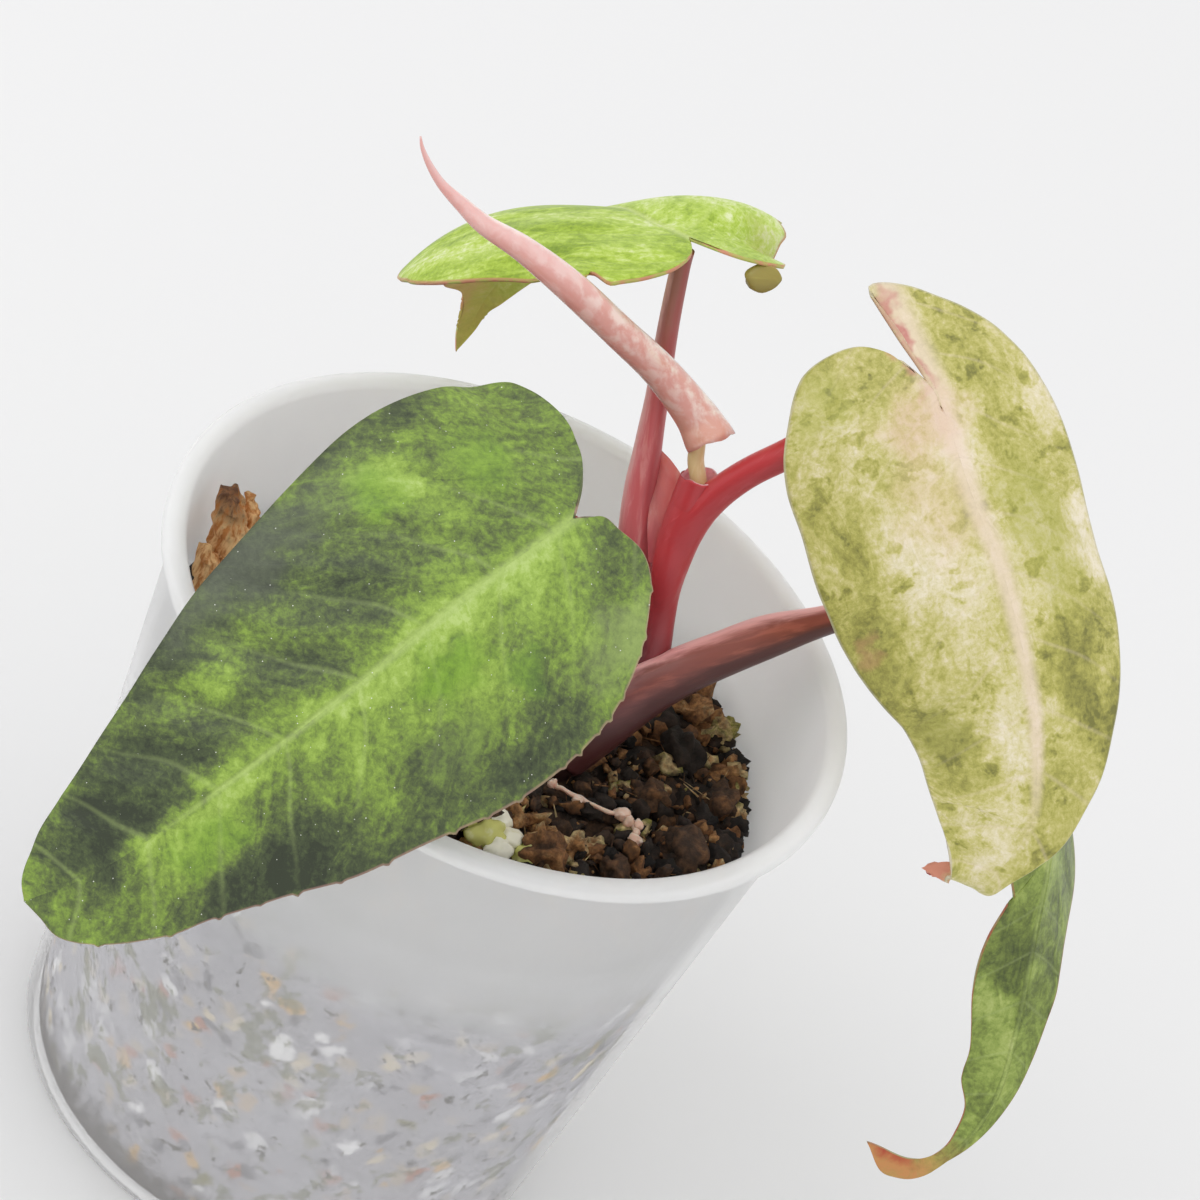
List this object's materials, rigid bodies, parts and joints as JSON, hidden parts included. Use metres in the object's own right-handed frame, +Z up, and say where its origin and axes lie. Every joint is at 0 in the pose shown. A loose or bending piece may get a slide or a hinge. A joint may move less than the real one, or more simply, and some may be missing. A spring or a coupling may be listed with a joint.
{
  "type": "potted variegated philodendron hybrid",
  "caption": "Young variegated philodendron hybrid with broad mottled leaves on red petioles and a pink new-leaf hood, in a round frosted nursery pot filled with chunky mix.",
  "frame": {"origin": "centre of the flat underside of the pot", "axes": "+Z up along the pot's axis; the leaf in front faces -Y"},
  "size_m": [0.1374, 0.123, 0.1437],
  "materials": {
    "pot": "frosted translucent",
    "growing_mix": "rough damp bark and soil",
    "husk": "fibrous matte",
    "pebbles": "matte",
    "stem": "satin",
    "petiole_red": "satin",
    "petiole_pink": "satin",
    "petiole_brown": "satin",
    "blade_dark_green": "satin, mottled green and dark grey-green",
    "blade_cream": "satin, mottled cream and olive",
    "blade_lime": "satin, mottled lime green",
    "blade_narrow": "satin, mottled green with reddish edges",
    "new_stalk": "satin",
    "new_sheath": "glossy, streaked pink and white",
    "root": "matte"
  },
  "bodies": {
    "root": {"pot": "pot", "growing_mix": "growing_mix", "husk_chunk": "husk", "pebbles": "pebbles", "stem": "stem", "petiole_1": "petiole_red", "blade_1": "blade_dark_green", "petiole_2": "petiole_red", "blade_2": "blade_cream", "petiole_3": "petiole_pink", "blade_3": "blade_lime", "petiole_4": "petiole_brown", "blade_4": "blade_narrow", "new_leaf_stalk": "new_stalk", "new_leaf_sheath": "new_sheath", "aerial_root": "root"}
  },
  "joints": []
}
